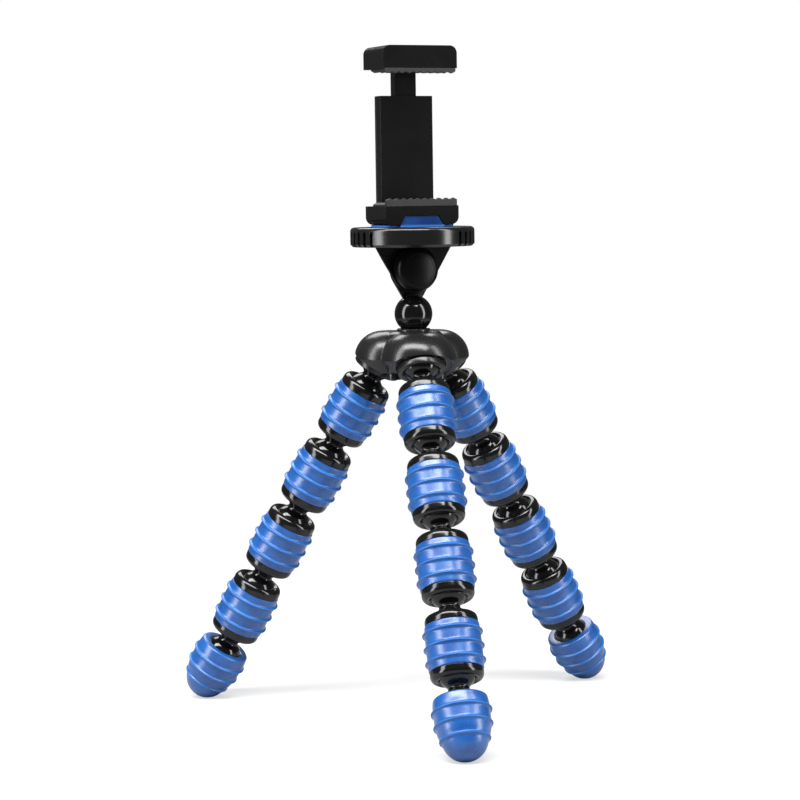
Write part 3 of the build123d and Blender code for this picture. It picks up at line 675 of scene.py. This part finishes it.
# %% Head ball and its neck
def flat_piece(outline, front, back, soft):
    """A closed bmesh plate from an outline in X and Z, between two depths, all in millimetres."""
    shell = bmesh.new()
    ring = [shell.verts.new((x * MM, front * MM, z * MM)) for x, z in outline]
    face = shell.faces.new(ring)
    grown = bmesh.ops.extrude_face_region(shell, geom=[face])
    moved = [item for item in grown["geom"] if isinstance(item, bmesh.types.BMVert)]
    bmesh.ops.translate(shell, verts=moved, vec=(0.0, (back - front) * MM, 0.0))
    bmesh.ops.recalc_face_normals(shell, faces=shell.faces)
    sharp = [e for e in shell.edges if e.calc_face_angle(0.0) > SHARP_TURN]
    bmesh.ops.bevel(shell, geom=sharp, offset=soft * MM, segments=3, profile=0.5, affect="EDGES")
    return shell


def make_head_ball():
    flare = radians(EYE_FLARE)
    ball = turn_on_lathe("head_ball", arc(HEAD_BALL_R, 0.0, 0.0, 180.0, 64), LINK_BLACK, 96)
    low = PIVOT_UP - EYE_R * sin(flare)
    foot = 7.0
    foot_half = EYE_R * cos(flare) - (low - foot) * tan(flare)
    turns = [-flare + t * (pi + 2 * flare) / 48 for t in range(49)]
    round_top = [(EYE_R * cos(a), PIVOT_UP + EYE_R * sin(a)) for a in turns]
    eye = flat_piece([(-foot_half, foot), (foot_half, foot)] + round_top, 0.1, 2.15, 0.25)
    neck_side = [(4.2, 6.6), (4.2, 7.6), (3.9, 8.5), (3.1, 9.2)]
    neck = flat_piece([(-x, z) for x, z in neck_side] + neck_side[::-1], -1.65, 2.15, 0.3)
    plate = bmesh.new()
    for part in (eye, neck):
        plain = bpy.data.meshes.new("part")
        part.to_mesh(plain)
        part.free()
        plate.from_mesh(plain)
    for face in plate.faces:
        face.smooth = True
    flat = bpy.data.meshes.new("head_neck")
    plate.to_mesh(flat)
    plate.free()
    for name, mesh, material in (("head_ball_round", ball, LINK_BLACK), ("head_neck", flat, BRACKET_BLACK)):
        mesh.transform(Matrix.Translation(HEAD * MM))
        mesh.set_sharp_from_angle(angle=SHADE_TURN)
        give_finish(mesh, material)
        piece = hand_over(name, mesh, "head", "link_plastic", "head_ball")
        print(piece.name, "faces", len(mesh.polygons))


make_head_ball()

# %% [markdown]
# Two wire springs in the clamp's channel push the upper jaw down. A spring is the plainest case for
# Geometry Nodes: the Spiral node makes the line, a circle at each end closes the last turn, and Curve to
# Mesh gives the line its thickness.

# %% Clamp springs
def spring_tree():
    tree = bpy.data.node_groups.new("spring", "GeometryNodeTree")
    sockets = {}
    floats = [(name, "Float") for name in ("Turns", "Radius", "Height", "Wire")]
    for name, kind in (*floats, ("Finish", "Material")):
        socket = tree.interface.new_socket(name, in_out="INPUT", socket_type="NodeSocket" + kind)
        sockets[name] = socket.identifier
    tree.interface.new_socket("Geometry", in_out="OUTPUT", socket_type="NodeSocketGeometry")
    source = tree.nodes.new("NodeGroupInput")

    def add(kind, settings=(), sockets=()):
        return add_node(tree, kind, settings, sockets)

    radius, height = source.outputs["Radius"], source.outputs["Height"]
    coil = add("GeometryNodeCurveSpiral", {}, {
        "Resolution": 28, "Rotations": source.outputs["Turns"], "Start Radius": radius, "End Radius": radius,
        "Height": height})
    ring = add("GeometryNodeCurvePrimitiveCircle", {}, {"Resolution": 28, "Radius": radius})
    lift = add("ShaderNodeCombineXYZ", {}, {"Z": height})
    upper = add("GeometryNodeTransform", {}, {"Geometry": ring.outputs[0], "Translation": lift.outputs[0]})
    lines = add("GeometryNodeJoinGeometry")
    for part in (coil.outputs[0], ring.outputs[0], upper.outputs[0]):
        tree.links.new(part, lines.inputs[0])
    section = add("GeometryNodeCurvePrimitiveCircle", {}, {
        "Resolution": 10, "Radius": source.outputs["Wire"]})
    wire = add("GeometryNodeCurveToMesh", {}, {
        "Curve": lines.outputs[0], "Profile Curve": section.outputs[0], "Fill Caps": True})
    smooth = add("GeometryNodeSetShadeSmooth", {}, {"Geometry": wire.outputs[0]})
    real = add("GeometryNodeRealizeInstances", {}, {"Geometry": smooth.outputs[0]})
    coated = add("GeometryNodeSetMaterial", {}, {
        "Geometry": real.outputs[0], "Material": source.outputs["Finish"]})
    out = tree.nodes.new("NodeGroupOutput")
    tree.links.new(coated.outputs[0], out.inputs[0])
    return tree, sockets


def make_springs():
    low, high = (Vector(corner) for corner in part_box("clamp_springs"))
    wire, outer, room = SPRING_WIRE_R * MM, (high.y - low.y) / 2, high.z - low.z
    tree, sockets = spring_tree()
    values = {
        "Turns": SPRING_TURNS, "Radius": outer - wire, "Height": room - 2 * wire, "Wire": wire, "Finish": WIRE}
    inputs = {sockets[name]: value for name, value in values.items()}
    one = with_modifier(bpy.data.meshes.new("spring"), "NODES", {"node_group": tree}, inputs)
    both = bmesh.new()
    for x in (low.x + outer, high.x - outer):
        copy = one.copy()
        copy.transform(Matrix.Translation((x, (low.y + high.y) / 2, low.z + wire)))
        both.from_mesh(copy)
    bmesh.ops.recalc_face_normals(both, faces=both.faces)
    both.to_mesh(one)
    both.free()
    give_finish(one, WIRE)
    piece = hand_over("wound_springs", one, "platform", "spring_steel", "clamp_springs")
    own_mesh(piece)
    print(piece.name, "faces", len(piece.data.polygons), "length", room)


make_springs()

# %% [markdown]
# One mesh of each kind is enough. Each copy is moved to its place on a leg: down a link, down a bead,
# and so on to the foot. Its place goes into the mesh, and the object stays at the origin, because the
# measured model holds its pieces the same way. The foot's lowest points are pressed flat on the floor.

# %% Legs
def direction(turn, lean):
    out = sin(radians(lean))
    return Vector((out * cos(radians(turn)), out * sin(radians(turn)), -cos(radians(lean))))


def seat_frame(centre, axis, turn):
    """A place at a centre whose Z runs down the leg and whose X is level."""
    x = Vector((-sin(radians(turn)), cos(radians(turn)), 0.0))
    y = axis.cross(x)
    c = centre * MM
    return Matrix(((x.x, y.x, axis.x, c.x), (x.y, y.y, axis.y, c.y), (x.z, y.z, axis.z, c.z), (0, 0, 0, 1)))


def put(mesh, name, matrix, body, slot, *nodes):
    """A copy of a mesh in its place, moving with a body in place of measured pieces."""
    copy = mesh.copy()
    copy.transform(matrix)
    return hand_over(name, copy, body, slot, *nodes)


for number, turn in enumerate(LEG_TURNS, 1):
    spot = HUB + Vector((SOCKET_RING * cos(radians(turn)), SOCKET_RING * sin(radians(turn)), 0.0))
    for n, (upper, lower) in enumerate(zip(LEANS, LEANS[1:]), 1):
        axis = direction(turn, (upper + lower) / 2)
        link = f"leg_{number}_link_{n}"
        matrix = seat_frame(spot + axis * LINK_SPAN / 2, axis, turn)
        put(LINK_MESH, f"link_{number}_{n}", matrix, link, "link_plastic", link)
        spot = spot + axis * LINK_SPAN
        axis = direction(turn, lower)
        if n < 5:
            matrix = seat_frame(spot + axis * SEAT_SPAN / 2, axis, turn)
            body = f"leg_{number}_bead_{n}"
            put(SPOOL_MESH, f"spool_{number}_{n}", matrix, body, "bead_plastic", f"leg_{number}_core_{n}")
            put(SLEEVE_MESH, f"sleeve_{number}_{n}", matrix, body, "leg_rubber", f"leg_{number}_sleeve_{n}")
        else:
            foot = f"leg_{number}_foot"
            piece = put(FOOT_MESH, f"foot_{number}", seat_frame(spot, axis, turn), foot, "leg_rubber", foot)
            for vertex in piece.data.vertices:
                vertex.co.z = max(vertex.co.z, 0.0)
        spot = spot + axis * SEAT_SPAN
print("leg pieces", 3 * 14)

# %% [markdown]
# The floor is a flat sheet of pale card that glows a little, as a lit table does. It grows clear towards
# its rim, so it meets the white background without a line, and shadows darken it only near the feet.

# %% Floor
CLEAR_AT, CLEAR_SLOPE = 0.70, 2.2


def make_floor():
    mesh = bpy.data.meshes.new("floor")
    corners = [(-1.0, -1.0, 0.0), (1.0, -1.0, 0.0), (1.0, 1.0, 0.0), (-1.0, 1.0, 0.0)]
    mesh.from_pydata(corners, [], [(0, 1, 2, 3)])
    piece = bpy.data.objects.new("floor", mesh)
    bpy.context.scene.collection.objects.link(piece)
    finish = Finish("pale floor")
    finish.feed("Base Color", (0.36, 0.36, 0.36, 1.0))
    finish.feed("Emission Color", finish.node("ShaderNodeLightPath", output="Is Camera Ray"))
    finish.feed("Emission Strength", 0.55)
    clouds = finish.noise(4.0, 3.0)
    finish.feed("Roughness", 0.75 + (clouds - 0.5) * 0.1)
    finish.feed("Specular IOR Level", 0.1)
    from_middle = finish.node("ShaderNodeVectorMath", {"operation": "LENGTH"}, {0: finish.position}, "Value")
    finish.feed("Alpha", ((CLEAR_AT - from_middle) * CLEAR_SLOPE).clamped())
    mesh.materials.append(finish.material)
    return piece


floor = make_floor()

# %% [markdown]
# The light is a plain studio set: a tall soft box on each side, which the balls mirror as two upright
# bars, a high wide one in front that makes the upper faces pale, and a weaker one behind. The world is
# white where the camera looks straight or through glass at it. For all other rays it is dim, and a touch
# brighter for mirrored ones, so that black stays black. A lamp's place is given in metres to the left,
# towards the camera and up, then come its width and height in metres and its power in watts.

# %% Lights
CENTRE = Vector((0.0, 0.0, 0.15))
LEFT = -level
TOWARDS = Vector((-forward.x, -forward.y, 0.0)).normalized()


def soft_box(name, offset, width, height, power):
    lamp = bpy.data.lights.new(name, "AREA")
    lamp.shape = "RECTANGLE"
    lamp.size, lamp.size_y, lamp.energy = width, height, power
    piece = bpy.data.objects.new(name, lamp)
    piece.location = CENTRE + offset
    piece.rotation_euler = (-offset).to_track_quat("-Z", "Y").to_euler()
    bpy.context.scene.collection.objects.link(piece)
    return piece


UP = Vector((0.0, 0.0, 1.0))
LAMPS = (
    ("left box", (1.00, 0.45, 0.30), (0.30, 1.9), 16.0),
    ("right box", (-1.02, 0.42, 0.30), (0.26, 1.9), 14.0),
    ("back box", (0.2, -1.25, 1.15), (1.2, 0.7), 13.0),
    ("key box", (0.16, 0.64, 1.38), (1.75, 0.52), 46.0),
)
for name, (left, towards, up), (width, height), power in LAMPS:
    soft_box(name, LEFT * left + TOWARDS * towards + UP * up, width, height, power)

world = bpy.data.worlds.new("studio")
bpy.context.scene.world = world
world.use_nodes = True
paths = world.node_tree.nodes.new("ShaderNodeLightPath")
ground = world.node_tree.nodes["Background"]
seen = Wire(world.node_tree, paths.outputs["Is Camera Ray"])
mirrored = Wire(world.node_tree, paths.outputs["Is Glossy Ray"])
through = Wire(world.node_tree, paths.outputs["Is Transmission Ray"])
strength = seen * 0.94 + mirrored * 0.03 + through * 0.94 + 0.06
ground.inputs["Color"].default_value = (1.0, 1.0, 1.0, 1.0)
world.node_tree.links.new(strength.socket, ground.inputs["Strength"])
